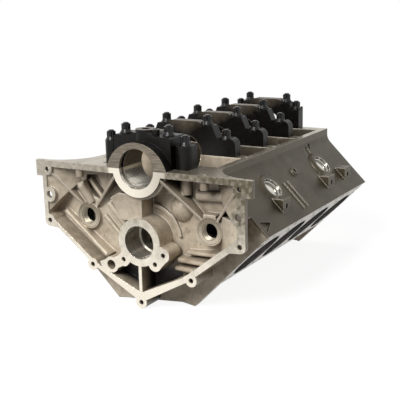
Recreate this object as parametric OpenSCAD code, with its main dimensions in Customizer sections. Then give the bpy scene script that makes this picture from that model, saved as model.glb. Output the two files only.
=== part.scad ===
// Eight-cylinder engine block with its main caps, upside down on its decks.
// X runs across the block, Y along the crankshaft from the bellhousing face to the front, Z up.
// The crankshaft axis is the line x = 0, z = 0. The oil pan rail is on top, the decks are underneath.

/* [Engine layout] */
// Distance between neighbouring cylinder axes
bore_pitch = 111.76; // [111:0.02:113]
// How far the right bank sits ahead of the left one
bank_stagger = 22.35; // [18:0.05:24]
// Crankshaft axis to deck face, along a cylinder axis
deck_h = 229.2; // [226:0.1:236]
// Casting left between neighbouring sleeves
sleeve_web = 3.76; // [3:0.02:6]
// Wall of a pressed-in sleeve
sleeve_wall = 3.2; // [2.4:0.1:3.4]
// Crankshaft axis to the lower end of a sleeve
sleeve_foot = 89; // [84:0.5:94]
// Bellhousing face to the middle of the rear main bearing
main_y = 56; // [54:0.5:58]
// Radius of the main bearing bores
main_r = 34.5; // [31:0.1:36]
// Crankshaft axis to camshaft axis
cam_drop = 128; // [126:0.5:130]
// Radius of the camshaft tunnel in the casting
cam_r = 29.3; // [27:0.1:30]
// Wall of a camshaft bearing
cam_bearing_wall = 2.2; // [1.5:0.1:3.5]
// Length of a camshaft bearing
cam_bearing_len = 19; // [14:0.5:22]

/* [Crankcase] */
// Half width over the oil pan rail
rail_x = 131; // [129:0.5:133]
// Radius of the sweep from the pan rail to the bank
rail_sweep_r = 24; // [18:1:30]
// Half width of the opening between the pan rails
bay_x = 118; // [112:0.5:120]
// Depth of the straight part of that opening
bay_lip = 20; // [14:1:24]
// Radius swept free round the crankshaft
bay_r = 97; // [94:0.5:100]
// Thickness of the webs that carry the main bearings
web_t = 24; // [22:0.5:28]
// Casting beyond the middle of the front main bearing
nose_len = 13; // [12:0.5:18]
// Radius swept free round the camshaft between the webs
cam_bay_r = 32; // [30:0.5:33]
// Radius of a pan rail bolt hole
rail_bolt_r = 3.6; // [3:0.1:4]
// Depth of a pan rail bolt hole
rail_bolt_len = 18; // [10:1:20]
// Half distance between the pan rail bolt holes
rail_bolt_x = 121; // [120:0.5:123]

/* [Banks] */
// Cylinder axis to the outer wall of a bank
bank_out = 78; // [76:0.5:80]
// Cylinder axis to the valley wall of a bank
bank_in = 62; // [60:0.5:64]
// Rear end of the left bank from the bellhousing face
bank_rear = 36; // [34:0.5:38]
// Rear cylinder axis of a bank from the rear end of the bank
bank_end = 64.8; // [62:0.1:67]
// Thickness of the walls that close the valley at its ends
end_wall = 14; // [11:0.5:16]
// Half width of the end walls at their foot
end_foot = 73.7; // [68:0.1:78]
// How much the foot is hollowed between its corners
foot_hollow = 3.5; // [2:0.5:6]
// Width of a foot corner
foot_corner = 24; // [16:1:30]
// Crankshaft axis to the valley floor
valley_z = 172; // [170:0.5:176]
// Radius of a lifter bore
lifter_r = 10.7; // [9:0.1:11]
// Lifter bores, each side of their cylinder axis
lifter_y = 20.5; // [19:0.5:22]
// Camshaft axis to the top of the lifter bosses
lifter_top = 72; // [68:1:76]
// Half width of the ledge that holds the lifter bores
lifter_ledge = 13.5; // [12.5:0.5:15]
// Radius of a threaded head bolt hole
head_bolt_r = 5.2; // [4.5:0.1:6]
// Depth of a head bolt hole
head_bolt_len = 34; // [20:1:40]
// Cylinder axis to the near head bolt rows
head_row_near = 49; // [48:0.5:51]
// Cylinder axis to the far head bolt row
head_row_far = 69; // [67:0.5:70]
// Radius of a coolant passage in the deck
coolant_r = 3.6; // [3:0.1:4.2]
// Depth of a coolant passage
coolant_len = 22; // [10:1:30]
// Radius of a dowel hole in the deck
deck_dowel_r = 4; // [3.5:0.1:4.5]
// Depth of a dowel hole in the deck
deck_dowel_len = 12; // [6:0.5:14]

/* [Rear flange] */
// Half width over the ears of the flange
ear_x = 218; // [215:0.5:221]
// Depth of an ear
ear_z = 29; // [27:0.5:31]
// Thickness of the flange at its ears
flange_t = 9; // [8:0.5:11]
// Half width of the flange below the ears
flange_x = 205; // [204:0.5:207]
// Radius of the plan sweep behind the flange
flare_r = 75; // [72:1:76]
// Half distance between the flange side bolts
side_bolt_x = 194.5; // [193:0.5:196]
// Depth of the upper side bolt
upper_bolt_z = 16; // [15:0.5:17]
// Depth of the lower side bolt
lower_bolt_z = 110.5; // [109:0.5:112]
// Half distance between the rim bolts
rim_bolt_x = 102; // [101:0.5:103]
// Depth of the rim bolts
rim_bolt_z = 181; // [180:0.5:182]
// Depth of the tip bolt
tip_bolt_z = 236; // [235:0.5:237]
// Radius of a bellhousing bolt hole
bell_bolt_r = 4.6; // [4:0.1:5.2]
// Depth of a bellhousing bolt hole
bell_bolt_len = 26; // [20:1:30]
// Radius of the metal round a bolt hole
bell_boss_r = 11; // [10:0.5:12]
// Half distance between the dowel holes
dowel_x = 192; // [190.5:0.5:193]
// Depth of the dowel holes
dowel_z = 62.5; // [60:0.5:65]
// Radius of a dowel hole
dowel_r = 6.5; // [6:0.1:8]
// Metal round a dowel hole
dowel_wall = 7; // [6:0.5:8]
// Thickness of the bar over the pockets
top_bar = 11; // [10:0.5:12]
// Width of the rim under the left pocket
left_rim = 6.5; // [5:0.5:8]
// Width of the rim under the right pocket
right_rim = 10.5; // [8:0.5:13]
// Width of the flange strip beside the left pocket
left_strip = 8.5; // [7:0.5:12]
// Width of the flange strip beside the right pocket
right_strip = 15; // [12:0.5:17]
// Depth of the left pocket
left_floor = 34; // [32:0.5:35]
// Depth of the right pocket
right_floor = 44; // [40:0.5:46]
// Thickness of the bowl between the pockets and the sweep
bowl_wall = 5; // [4:0.5:8]
// Depth to which the right bank runs on to the flange
haunch_z = 76; // [70:1:84]
// Half thickness of the web between the pockets at the tip
tip_web = 3; // [2:0.5:4]

/* [Rear bosses] */
// Outer radius of the main bearing boss
main_boss_r = 49; // [47:0.5:51]
// Outer radius of the camshaft boss
cam_boss_r = 42.5; // [41:0.5:44]
// Radius of the lug corners on the camshaft boss
cam_lug_r = 12.5; // [11.5:0.5:13]
// Radius of a camshaft cover bolt hole
cam_bolt_r = 4.4; // [3.5:0.1:5]
// Depth of a camshaft cover bolt hole
cam_bolt_len = 20; // [12:1:24]
// Threaded bosses from the middle of the block
port_x = 125; // [123:0.5:127]
// Depth of the threaded bosses
port_z = 100; // [98:0.5:102]
// Outer radius of a threaded boss
port_boss_r = 24; // [22:0.5:25]
// Radius of the threaded hole
port_r = 15; // [13:0.5:16]
// Length of the threaded hole
port_len = 16; // [12:0.5:18]
// Radius of the passage behind the thread
port_throat_r = 11.5; // [10:0.5:12]
// Length of that passage
port_throat_len = 24; // [18:1:30]
// Bellhousing face to the face of a threaded boss
port_face = 26; // [24:0.5:28]
// Thickness of the ribs in the pockets
rib_t = 4.5; // [4:0.5:6]
// How far the ledges round the bosses stand out of the pocket floors
ledge_out = 12; // [8:0.5:14]
// Height of the raised field left of the middle, from the bellhousing face
field_y = 8; // [6:0.5:12]
// How far the ring behind the main bearing boss stands out round it
ring_step = 5; // [4:0.5:6]
// How much the threaded bosses widen at their feet
boss_skirt = 4; // [3:0.5:5]
// Depth of the hollow under the left top bar, below the pocket floor
hollow_in = 14; // [8:0.5:16]
// Radius of the dome in the right pocket
dome_r = 26; // [24:0.5:27]
// Metal round the rear studs
column_wall = 5; // [4:0.5:7]
// Radius of the bosses under the top bar
stub_r = 7; // [6:0.5:8]

/* [Front face] */
// Radius of the hollow behind the timing cover
timing_r = 58; // [54:1:60]
// Depth of that hollow
timing_len = 5; // [3:0.5:8]
// Radius of a water pump port
water_r = 13; // [11:0.5:15]
// Depth of a water pump port
water_len = 26; // [20:1:30]
// Deck face to the water pump ports, down the bank
water_in = 62; // [56:1:68]

/* [Outer walls] */
// Radius of a core plug
plug_r = 20.6; // [19:0.1:22]
// Crankshaft axis to the core plugs, down the bank
plug_w = 155.5; // [154:0.5:158]
// Radius of the metal round a core plug
plug_boss_r = 26; // [25:0.5:28]
// How much that metal widens at its foot
plug_skirt = 6; // [4:0.5:8]
// How far a core plug is driven in below the face of its boss
plug_set = 1; // [0.5:0.1:2]
// Depth of a core plug hole
plug_hole_len = 14; // [12:0.5:16]
// Length of a core plug
plug_len = 8; // [6:0.5:9]
// Wall of a core plug
plug_wall = 1.6; // [1.2:0.1:2]
// How far the plug bosses stand out of the wall
pad_out = 4; // [3:0.5:6]
// Half distance between the wall ribs
wall_rib_y = 8; // [7:0.5:10]
// Thickness of a wall rib
wall_rib_t = 3; // [2:0.5:5]
// How far a wall rib stands out
wall_rib_out = 2.5; // [1.5:0.5:4]
// Half width over the faces of the engine mount pads
mount_x = 200; // [197:0.5:204]
// Middle of the engine mount from the bellhousing face
mount_mid_y = 415.5; // [412:0.5:418]
// Half distance between the lower engine mount holes
mount_y = 42.5; // [41:0.5:44]
// Radius of an engine mount hole
mount_r = 4.8; // [4:0.1:5.5]
// Depth of the lower engine mount holes
mount_z = 80; // [79:0.5:82]
// Depth of the upper engine mount hole
mount_top_z = 21; // [19:0.5:23]
// How deep the engine mount holes are
mount_hole_len = 26; // [20:1:30]
// Length of an engine mount pad along the block
mount_pad_len = 28; // [24:1:32]
// Middle of the starter pad from the bellhousing face
starter_y = 167.5; // [165:0.5:170]
// Crankshaft axis to the small boss, down the bank
sensor_w = 144; // [141:0.5:147]
// Bellhousing face to the small boss
sensor_y = 290; // [287:0.5:293]
// Outer radius of the small boss
sensor_r = 8.5; // [7:0.5:10]
// Depth of the leaf-shaped recess over the front core plug
leaf_in = 2; // [1:0.5:3]
// Length of that recess
leaf_len = 76; // [70:1:80]
// Width of that recess
leaf_w = 24; // [20:1:28]
// Depth of the three-cornered recess near the deck
corner_in = 6; // [4:0.5:8]

/* [Main caps] */
// Thickness of the middle main caps
cap_t = 20; // [19:0.5:22]
// Half width of the middle main caps
cap_x = 104; // [102:0.5:106]
// Height of the middle main caps
cap_z = 60; // [58:0.5:63]
// Height of the shoulder of a middle main cap
cap_shoulder = 33; // [31:0.5:36]
// Height of the shoulder of the front main cap
front_shoulder = 44; // [42:0.5:46]
// Half width of the front main cap
front_cap_x = 76; // [74:0.5:78]
// Thickness of the front main cap
front_cap_t = 22; // [20:0.5:24]
// Height of the inner seats
inner_seat = 52.5; // [51:0.5:55]
// Height of the outer seats on the middle caps
outer_seat = 28; // [26:0.5:30]
// Height of the outer seats on the end caps
end_seat = 37.5; // [36:0.5:39]
// Inner studs from the middle of the block
inner_stud_x = 43.5; // [43:0.1:44.5]
// Outer studs of the middle caps
outer_stud_x = 81.5; // [80:0.5:83]
// Outer studs of the front cap
front_stud_x = 66; // [65:0.5:67]
// Radius of a main stud
stud_r = 5.5; // [5:0.1:6]
// How deep a stud stands in the casting
stud_depth = 38; // [30:1:38]
// Length of the tapered end of a stud
stud_tip = 1.5; // [1:0.1:2]
// Room round a stud in its cap
stud_gap = 0.4; // [0.2:0.1:0.8]
// How deep a cap sits in its register under the pan rail
register_in = 1.5; // [1:0.1:2]
// Room at the ends and sides of a register
register_gap = 0.1; // [0.05:0.01:0.2]

/* [Rear main cap] */
// Half width of the rear cap over its ears
rear_cap_x = 87; // [86.5:0.5:89]
// Half width of the body of the rear cap
rear_body_x = 57; // [56:0.5:59]
// Bellhousing face to the body of the rear cap
ring_len = 20; // [18:0.5:22]
// Radius of the seal ring on the rear cap
ring_r = 62.5; // [61:0.5:64]
// How far the middle of that radius lies under the crankshaft axis
ring_drop = 17.5; // [16:0.5:19]
// Bellhousing face to the ears of the rear cap
rear_ear_y = 25; // [23:0.5:26]
// Length of the ears along the block
rear_ear_len = 32; // [28:0.5:36]
// Outer studs of the rear cap
rear_stud_x = 75.5; // [74.5:0.5:76]
// Rear cap studs from the bellhousing face
rear_stud_y = 38; // [37:0.5:40]
// Radius of the oil pump boss
pump_boss_r = 17.5; // [16:0.5:19]
// Height of the oil pump boss
pump_z = 64; // [62:0.5:66]
// Oil pump hole from the bellhousing face
pump_y = 34; // [32:0.5:36]
// Radius of the oil pump hole
pump_hole_r = 7; // [6:0.5:8]
// Radius of the oil pump bolt hole
pump_bolt_r = 4; // [3.5:0.1:4.5]
// Oil pump hole to its bolt hole
pump_bolt_x = 19; // [18:0.5:21]
// Radius of the seal groove
groove_r = 38; // [37:0.5:39]
// Bellhousing face to the seal groove
groove_y = 6; // [5:0.5:8]
// Width of the seal groove
groove_w = 8; // [6:0.5:9]

/* [Nuts] */
// Radius of a nut over its points
nut_r = 7.9; // [7.4:0.1:8.6]
// Radius of the foot of a nut
nut_foot_r = 10.4; // [9.5:0.1:11]
// Height of a nut
nut_h = 14.5; // [12:0.5:16]
// Radius of the washer under a nut
washer_r = 11; // [10.5:0.1:11.2]
// Thickness of a washer
washer_t = 2.5; // [2:0.1:3]
// How far a stud stands out of its nut
stud_out = 2.5; // [1:0.5:4]
// Room round a washer in its seat
seat_gap = 1; // [0.5:0.1:2]

/* [Hidden] */
// Smoothness of round forms
$fn = 64;
// How far a cutter runs past the face it cuts
cut = 1;
root2 = sqrt(2);
// How far the end walls reach into the metal beside them
wall_overlap = 6;
left = 0;
right = 1;
banks = [left, right];
cylinders = [0:3];
mains = [for (k = [0:4]) main_y + k * bore_pitch];
block_len = mains[4] + nose_len;
sleeve_r = (bore_pitch - sleeve_web) / 2;
cyl_r = sleeve_r - sleeve_wall;
bank_y0 = [bank_rear, bank_rear + bank_stagger];
bank_y1 = [block_len - bank_stagger, block_len];
function cyl_y(bank, k) = bank_y0[bank] + bank_end + k * bore_pitch;
// Core plugs lie between the first two and the last two cylinders of a bank
function plug_y(bank, k) = cyl_y(bank, k) + bore_pitch / 2;
// A point of the section, s across the bank from the cylinder axis and d out along it
function bank_point(s, d) = [(s + d) / root2, (s - d) / root2];
// The outer wall of a bank at a depth under the crankshaft axis
function wall_x(depth) = bank_out * root2 + depth;
// Depth at which the straight pan rail ends and its sweep begins
sweep_z = bank_out * root2 - rail_x + rail_sweep_r * (root2 - 1);
sweep_end = [rail_x + rail_sweep_r * (1 - 1 / root2), sweep_z - rail_sweep_r / root2];
// Crankshaft axis to the root of a bank, along a cylinder axis
bank_root = (sweep_end[0] - sweep_end[1]) / root2;
flare_y = flange_t + flare_r;
// Corners of the rim line under the pockets, from the side bolt to the tip
rim_line = [[side_bolt_x - 19, -lower_bolt_z - 12.5], [rim_bolt_x + 10, 9 - rim_bolt_z],
    [rim_bolt_x - 14, -rim_bolt_z - 7], [15, 8 - tip_bolt_z]];
// Camshaft cover lugs, one on the left and two on the right: distance and direction from the axis
cam_lug_reach = [48.4, 46.8, 50.9];
cam_lug_turn = [-134.6, -48.5, -19.5];
cam_lugs = [for (i = [0:2])
    [0, -cam_drop] + cam_lug_reach[i] * [cos(cam_lug_turn[i]), sin(cam_lug_turn[i])]];
oil_hole = [-61, -cam_drop - 48];
// Round ribs of the left pocket: two ends, depth of the crest at each end, radius
left_ribs = [
    [[-137, -43], [-121, -76], 15, 25, 7.5],
    [[-76, -72], [-46, -106], 19, 21, 6.5],
    [[-91, -97], [-60, -128], 26, 27, 4.5],
    [[-178, -97], [-79, -165], 24, 11, 4.5]
];
// The rib that lies in the hollow under the left top bar
hollow_rib = [[-127, -36], [-97, -71], left_floor, left_floor, 4];
// Round ribs of the right pocket, given the same way
right_ribs = [
    [[98, -44], [152, -41], 30, 30, 9.5],
    [[78, -144], [140, -139], 30, 20, 3.5],
    [[64, -157], [123, -154], 22, 11, 4],
    [[58, -172], [98, -170], 22, 14, 4.5]
];
// Middle of the dome in the right pocket
dome_at = [62, -72];
// Ridge round the camshaft boss: where it starts and how wide it is
collar_gap = 14;
collar_w = 6;
// Face of each bearing cap along the block: rear, three middle ones, front
cap_y0 = [ring_len, for (k = [1:3]) mains[k] - cap_t / 2, mains[4] - front_cap_t / 2];
cap_y1 = [mains[0] + web_t / 2, for (k = [1:3]) mains[k] + cap_t / 2, mains[4] + front_cap_t / 2];
// Every main stud: x, y and the height of its seat, on the right half
inner_places = [[inner_stud_x, rear_stud_y, inner_seat],
    for (k = [1:4]) [inner_stud_x, mains[k], inner_seat]];
outer_places = [[rear_stud_x, rear_stud_y, end_seat],
    for (k = [1:3]) [outer_stud_x, mains[k], outer_seat],
    [front_stud_x, mains[4], end_seat]];

cast_colour = [0.66, 0.63, 0.58];
iron_colour = [0.50, 0.50, 0.51];
black_colour = [0.12, 0.11, 0.11];
bearing_colour = [0.60, 0.60, 0.62];
plug_colour = [0.75, 0.76, 0.78];

// Helpers

// The points of a right half followed by those of the left half
function both_halves(points) =
    concat(points, [for (i = [len(points) - 1:-1:0]) [-points[i][0], points[i][1]]]);

// An outline drawn in x and z, run along the crankshaft
module along_y(y0, y1) {
    translate([0, y1, 0])
        rotate([90, 0, 0])
            linear_extrude(y1 - y0)
                children();
}

// A round bar or hole along the crankshaft, its middle given as [x, z]
module rod_y(middle, r, y0, y1) {
    translate([middle[0], y1, middle[1]])
        rotate([90, 0, 0])
            cylinder(r = r, h = y1 - y0);
}

// A round bar or hole straight up
module rod_z(x, y, r, z0, z1) {
    translate([x, y, z0])
        cylinder(r = r, h = z1 - z0);
}

// A round bar or hole straight across the block
module rod_x(y, z, r, x0, x1) {
    translate([x0, y, z])
        rotate([0, 90, 0])
            cylinder(r = r, h = x1 - x0);
}

// The same form on both sides of the block
module both_sides() {
    children();
    mirror([1, 0, 0])
        children();
}

// A form drawn for the right bank, mirrored for the left one
module on_side(bank) {
    mirror([bank == left ? 1 : 0, 0, 0])
        children();
}

// Frame of a bank: z out along the cylinder axes, x towards the valley
module bank_frame(bank) {
    on_side(bank)
        rotate([0, 135, 0])
            children();
}

// Frame of an outer wall: z out of the wall, x down the bank from the crankshaft axis
module wall_frame(bank) {
    on_side(bank)
        rotate([0, 45, 0])
            translate([0, 0, bank_out])
                children();
}

// A straight bar between two points of a section
module bar(p, q, t) {
    run = q - p;
    translate(p)
        rotate(atan2(run[1], run[0]))
            translate([0, -t / 2])
                square([norm(run), t]);
}

// A rib between two points of a section, its edge running from depth y_p to depth y_q
module sloped_rib(p, q, y_p, y_q, foot, t) {
    run = q - p;
    translate([p[0], 0, p[1]])
        rotate([0, -atan2(run[1], run[0]), 0])
            translate([0, 0, -t / 2])
                linear_extrude(t)
                    polygon([[0, y_p], [norm(run), y_q], [norm(run), foot], [0, foot]]);
}

// A rib with a rounded crest between two points of a section, the crest at depths y_p and y_q
module round_rib(p, q, y_p, y_q, foot, r) {
    run = q - p;
    rise = y_q - y_p;
    beyond = r / 2 / norm(run);
    sloped_rib(p - run * beyond, q + run * beyond, y_p + r - rise * beyond, y_q + r + rise * beyond,
        foot, r * 1.94);
    translate([p[0], y_p + r, p[1]])
        rotate([0, -atan2(run[1], run[0]), 0])
            rotate([0, 0, atan2(rise, norm(run))])
                rotate([0, 90, 0])
                    cylinder(r = r, h = norm([norm(run), rise]));
}

// A round bar along the crankshaft that widens from r0 at y0 to r1 at y1
module cone_y(middle, r0, r1, y0, y1) {
    translate([middle[0], y1, middle[1]])
        rotate([90, 0, 0])
            cylinder(r1 = r1, r2 = r0, h = y1 - y0);
}

// Sections across the block

// Right half of the crankcase, without its bank
module case_half() {
    difference() {
        polygon([
            [0, 0], [rail_x, 0], [rail_x, sweep_z], sweep_end,
            [(bank_root - bank_in) / root2, -(bank_root + bank_in) / root2],
            [valley_z - bank_in * root2, -valley_z], [0, -valley_z]
        ]);
        translate([rail_x + rail_sweep_r, sweep_z])
            circle(rail_sweep_r);
    }
}

// Right bank, a slab along the cylinder axes, its outer wall drawn in by an inset
module bank_half(inset = 0) {
    rotate(-45)
        translate([bank_root - cut, -bank_in])
            square([deck_h - bank_root + cut, bank_in + bank_out - inset]);
}

// Right half of the wall that closes the valley at an end
module end_wall_half() {
    foot_z = end_foot - deck_h * root2;
    polygon([
        [0, wall_overlap - valley_z],
        [valley_z - wall_overlap - (bank_in - wall_overlap) * root2, wall_overlap - valley_z],
        bank_point(wall_overlap - bank_in, deck_h - wall_overlap), bank_point(-bank_in, deck_h),
        [end_foot, foot_z], [end_foot - foot_corner, foot_z + foot_hollow], [0, foot_z + foot_hollow]
    ]);
}

// Right half of the bellhousing flange
module flange_half() {
    translate([0, -ear_z])
        square([ear_x, ear_z]);
    polygon([
        [0, 0], [flange_x, 0], [flange_x, -lower_bolt_z],
        [side_bolt_x, -lower_bolt_z - bell_boss_r],
        rim_line[0], rim_line[1], [rim_bolt_x, -rim_bolt_z], rim_line[2], rim_line[3],
        [0, -tip_bolt_z]
    ]);
    for (spot = [[side_bolt_x, -lower_bolt_z], [rim_bolt_x, -rim_bolt_z], [0, -tip_bolt_z]])
        translate(spot)
            circle(bell_boss_r);
}

// Right half of the pockets behind the flange, for the widths of their rim and outer strip
module pocket_half(rim, strip) {
    edge_x = flange_x - strip;
    run = rim_line[1] - rim_line[0];
    slope = run[1] / run[0];
    normal = [run[1], -run[0]] / norm(run);
    inner = rim_line[1] + normal * rim;
    tail = rim_line[3] - rim_line[2];
    tail_in = [tail[1], -tail[0]] / norm(tail) * min(rim, bell_boss_r - 1.5);
    difference() {
        polygon([
            [tip_web, -top_bar], [edge_x, -top_bar], [edge_x, inner[1] + (edge_x - inner[0]) * slope],
            inner, rim_line[2] + tail_in, [tip_web, rim_line[3][1] + bell_boss_r]
        ]);
        for (spot = [[side_bolt_x, -upper_bolt_z], [side_bolt_x, -lower_bolt_z], [rim_bolt_x, -rim_bolt_z]])
            translate(spot)
                circle(bell_boss_r);
        translate([dowel_x, -dowel_z])
            circle(dowel_r + dowel_wall);
    }
}

// Outline of the camshaft boss with its lugs
module cam_boss_outline() {
    middle = [0, -cam_drop];
    neck = cam_lug_r * 1.9;
    translate(middle)
        circle(cam_boss_r);
    for (lug = cam_lugs) {
        translate(lug)
            circle(cam_lug_r);
        bar(middle, lug, neck);
    }
    bar(cam_lugs[1], cam_lugs[2], neck);
    translate(oil_hole)
        circle(cam_lug_r + 2);
    bar(oil_hole, cam_lugs[0], cam_lug_r * 1.6);
    bar(oil_hole, oil_hole + [-20, -8], neck);
}

// Room inside the crankcase between two webs
module bay_outline() {
    circle(bay_r);
    both_sides()
        polygon([
            [0, cut], [bay_x, cut], [bay_x, -bay_lip],
            [bay_x - bay_r / 3.2, -bay_lip - bay_r / 3.2], [0, -bay_r / 2]
        ]);
    translate([0, -cam_drop])
        circle(cam_bay_r);
}

// The casting, built up

module crankcase() {
    along_y(left_floor, block_len)
        mirror([1, 0])
            case_half();
    along_y(right_floor, block_len)
        case_half();
}

module bank_slabs() {
    along_y(bank_y0[left], bank_y1[left])
        mirror([1, 0])
            bank_half();
    along_y(bank_y0[right], bank_y1[right])
        bank_half();
}

// Walls across the ends of the valley, stepping from the end of one bank to the other
module end_walls() {
    step_x = end_foot / 1.6;
    intersection() {
        along_y(bank_y0[left] - cut, block_len + cut)
            both_sides()
                end_wall_half();
        translate([0, 0, -deck_h * root2])
            linear_extrude(deck_h * root2)
                for (wall = [[bank_y0[left], bank_y0[right]],
                             [bank_y1[left] - end_wall, bank_y1[right] - end_wall]])
                    polygon([
                        [-ear_x, wall[0]], [-step_x, wall[0]], [step_x, wall[1]], [ear_x, wall[1]],
                        [ear_x, wall[1] + end_wall], [step_x, wall[1] + end_wall],
                        [-step_x, wall[0] + end_wall], [-ear_x, wall[0] + end_wall]
                    ]);
    }
}

// Bellhousing flange and the bowl that joins it to the crankcase
module rear_bowl() {
    difference() {
        intersection() {
            along_y(0, flare_y)
                both_sides()
                    flange_half();
            translate([0, 0, -tip_bolt_z - bell_boss_r])
                linear_extrude(tip_bolt_z + bell_boss_r)
                    both_sides()
                        flare_plan();
        }
        along_y(bank_y0[right], flare_y + cut)
            valley_gap();
    }
}

// The banks run on to the flange: the left one whole, the right one in its upper part
module haunches() {
    along_y(flange_t / 2, bank_y0[left] + cut)
        mirror([1, 0])
            intersection() {
                bank_half();
                flange_half();
            }
    along_y(flange_t / 2, bank_y0[right] + cut)
        intersection() {
            bank_half();
            translate([0, -haunch_z])
                square([ear_x, haunch_z]);
        }
}

// Pockets behind the flange, a wall short of the bowl's sweep and of the haunches
module pockets() {
    intersection() {
        union() {
            along_y(-cut, left_floor)
                mirror([1, 0])
                    pocket_half(left_rim, left_strip);
            along_y(-cut, right_floor)
                pocket_half(right_rim, right_strip);
        }
        union() {
            translate([0, 0, -tip_bolt_z])
                linear_extrude(tip_bolt_z)
                    both_sides()
                        flare_plan(bowl_wall);
            along_y(-cut, left_floor)
                mirror([1, 0])
                    bank_half(bowl_wall);
            along_y(-cut, right_floor)
                intersection() {
                    bank_half(bowl_wall);
                    translate([0, bowl_wall - haunch_z])
                        square([ear_x, haunch_z]);
                }
        }
    }
    along_y(left_floor - cut, left_floor + hollow_in)
        polygon([[-132, -27], [-108, -24], [-92, -56], [-104, -71], [-116, -66], [-134, -44]]);
    along_y(-cut, field_y)
        translate([-tip_web - cut, -cam_drop])
            square([(tip_web + cut) * 2, cam_drop - top_bar]);
}

// Right half of the bowl seen from above: wide at the flange, sweeping in to the pan rail
module flare_plan(inset = 0) {
    difference() {
        polygon([
            [0, -cut], [ear_x, -cut], [ear_x, flange_t], [flange_x, flange_t],
            [rail_x, flare_y], [0, flare_y]
        ]);
        translate([flange_x, flare_y])
            circle(flare_r + inset);
    }
}

// The valley side of the bowl, cut away so that the end wall stays open behind it
module valley_gap() {
    polygon([
        [-ear_x, -ear_x], [-valley_z + bank_in * root2, -valley_z],
        [valley_z - bank_in * root2, -valley_z], [ear_x, -ear_x],
        [ear_x, -deck_h * root2], [-ear_x, -deck_h * root2]
    ]);
}

// Bosses and ribs that both pockets have
module rear_bosses() {
    foot = right_floor + cut;
    along_y(0, bank_y0[right])
        intersection() {
            circle(main_boss_r);
            translate([-main_boss_r, -main_boss_r])
                square([main_boss_r * 2, main_boss_r]);
        }
    along_y(field_y, bank_y0[right])
        intersection() {
            circle(main_boss_r + ring_step);
            translate([-main_boss_r * 2, -main_boss_r * 2])
                square([main_boss_r * 4, main_boss_r * 2 - top_bar / 2]);
        }
    along_y(0, bank_y0[left] + cut)
        cam_boss_outline();
    rod_y([0, -cam_drop], cam_boss_r, 0, bank_y0[right]);
    both_sides() {
        rod_y([port_x, -port_z], port_boss_r, port_face, bank_y0[right] + cut);
        cone_y([port_x, -port_z], port_boss_r - cut, port_boss_r + boss_skirt, port_face + cut, foot);
        sloped_rib([main_boss_r - 4, -15], [port_x - 16, 18 - port_z], 1, port_face + 2, foot, rib_t);
        sloped_rib([side_bolt_x - 6, -upper_bolt_z - 5], [port_x + 14, 20 - port_z], 1, port_face + 2,
            foot, rib_t);
        rod_z(port_x + 2, stub_r + 2, stub_r, -top_bar - stub_r * 2, -cut);
        for (place = [inner_places[0], outer_places[0]])
            rod_z(place[0], place[1], stud_r + column_wall, -stud_depth - column_wall, -cut);
    }
}

// The raised field, fingers and ridges of the left pocket
module left_ridges() {
    foot = left_floor + cut;
    along_y(field_y, foot)
        polygon([[tip_web, -50], [-43, -46], [-62, -57], [-41, -94], [tip_web, -92]]);
    for (rib = left_ribs)
        round_rib(rib[0], rib[1], rib[2], rib[3], foot, rib[4]);
    round_rib(hollow_rib[0], hollow_rib[1], hollow_rib[2], hollow_rib[3], foot + hollow_in, hollow_rib[4]);
}

// The dome, bar, ledges and ridges of the right pocket
module right_ridges() {
    foot = right_floor + cut;
    collar_r = cam_boss_r + collar_gap;
    difference() {
        translate([dome_at[0], foot - ledge_out - cut * 3 + dome_r, dome_at[1]])
            sphere(dome_r);
        translate([0, foot, -port_z])
            cube([port_x, dome_r * 2, port_z]);
    }
    for (rib = right_ribs)
        round_rib(rib[0], rib[1], rib[2], rib[3], foot, rib[4]);
    // A flat top on the threaded boss
    along_y(port_face, foot)
        translate([port_x - port_boss_r / 2, -port_z])
            square([port_boss_r, port_boss_r * 1.2]);
    along_y(right_floor - ledge_out / 2, foot)
        translate([0, -cam_drop])
            intersection() {
                difference() {
                    circle(collar_r + collar_w);
                    circle(collar_r);
                }
                polygon([[0, 0], [collar_r / 5, collar_r * 1.4], [collar_r * 1.6, collar_r * 1.2],
                    [collar_r * 1.6, collar_r / 5]]);
            }
}

// Plug bosses, ribs and mount pads on the outer walls
module wall_details() {
    for (bank = banks) {
        wall_frame(bank) {
            for (k = [0, 2])
                translate([plug_w, plug_y(bank, k), -cut])
                    cylinder(r1 = plug_boss_r + plug_skirt, r2 = plug_boss_r, h = pad_out + cut);
            for (side = [-1, 1])
                translate([plug_w, cyl_y(bank, 1) + side * wall_rib_y - wall_rib_t / 2, -cut])
                    cube([deck_h - plug_w - 14, wall_rib_t, wall_rib_out + cut]);
            translate([sensor_w, sensor_y, -cut])
                cylinder(r1 = sensor_r + 2, r2 = sensor_r, h = pad_out + cut);
        }
        on_side(bank)
            for (y = [starter_y, mount_mid_y - mount_y, mount_mid_y + mount_y])
                along_y(y - mount_pad_len / 2, y + mount_pad_len / 2)
                    polygon([
                        [wall_x(mount_z - 14) - cut, 14 - mount_z], [mount_x, 14 - mount_z],
                        [mount_x, bank_out * root2 - mount_x], [mount_x - cut * 2, bank_out * root2 - mount_x]
                    ]);
    }
}

// Shallow recesses in the outer walls: a leaf over the front core plug, a corner near the deck
module wall_recesses() {
    for (bank = banks)
        wall_frame(bank) {
            leaf_r = (pow(leaf_len, 2) + pow(leaf_w, 2)) / (4 * leaf_w);
            translate([plug_w - plug_boss_r + 8, plug_y(bank, 2) - plug_boss_r + 10, -leaf_in])
                rotate(-29)
                    linear_extrude(leaf_in * 6)
                        intersection_for (side = [-1, 1])
                            translate([0, side * (leaf_r - leaf_w / 2)])
                                circle(leaf_r);
            translate([deck_h, bank_y0[bank], -corner_in])
                linear_extrude(corner_in + cut)
                    polygon([[-31, 10], [-21, 40], [-8, 9]]);
        }
}

// The casting, cut out

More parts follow.
